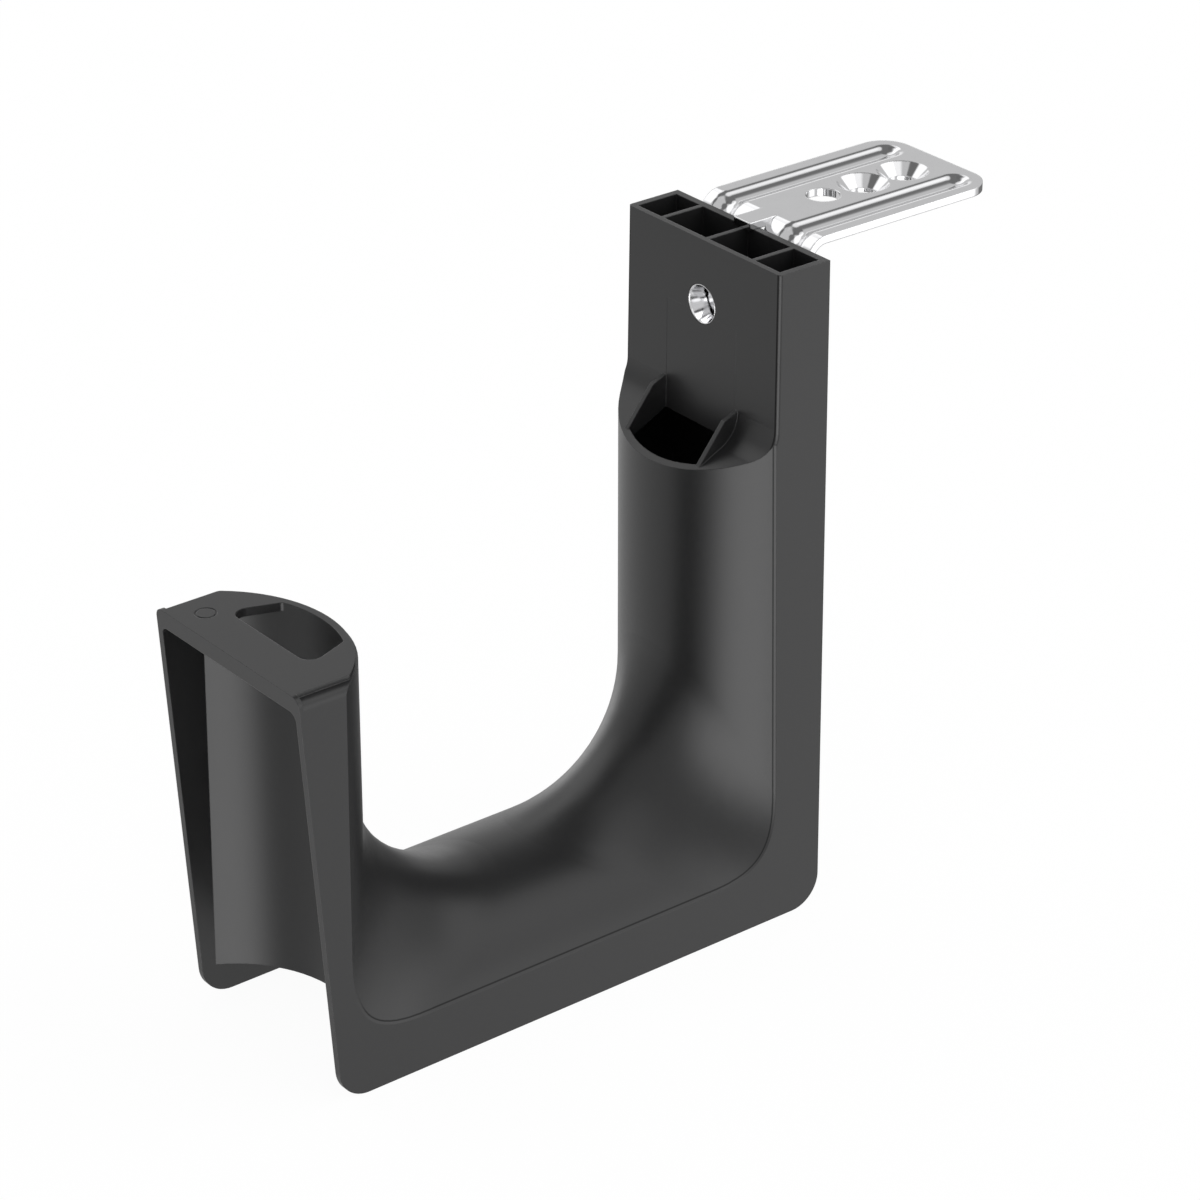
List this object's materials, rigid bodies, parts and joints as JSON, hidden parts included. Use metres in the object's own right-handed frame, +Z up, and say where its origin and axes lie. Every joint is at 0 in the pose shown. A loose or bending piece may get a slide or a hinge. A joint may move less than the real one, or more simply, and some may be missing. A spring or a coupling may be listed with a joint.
{
  "type": "j hook cable support",
  "caption": "J-shaped cable support: a hollow moulded hook with a half-round saddle, riveted under a folded, beaded sheet metal angle.",
  "frame": {"origin": "centre of the plain mounting hole on the top face of the bracket's top leg", "axes": "+Z up, out of the bracket's top face; +Y along the top leg, away from the hook; the hook hangs towards -Z with its open saddle and tip towards -Y; +X to the right seen from the front"},
  "size_m": [0.0612, 0.2208, 0.1812],
  "materials": {
    "hook_plastic": "satin black moulding",
    "bracket_steel": "bright plated sheet",
    "rivet_steel": "bright plated"
  },
  "bodies": {
    "root": {"hook_body": "hook_plastic", "mounting_bracket": "bracket_steel", "tubular_rivet": "rivet_steel"}
  },
  "joints": []
}
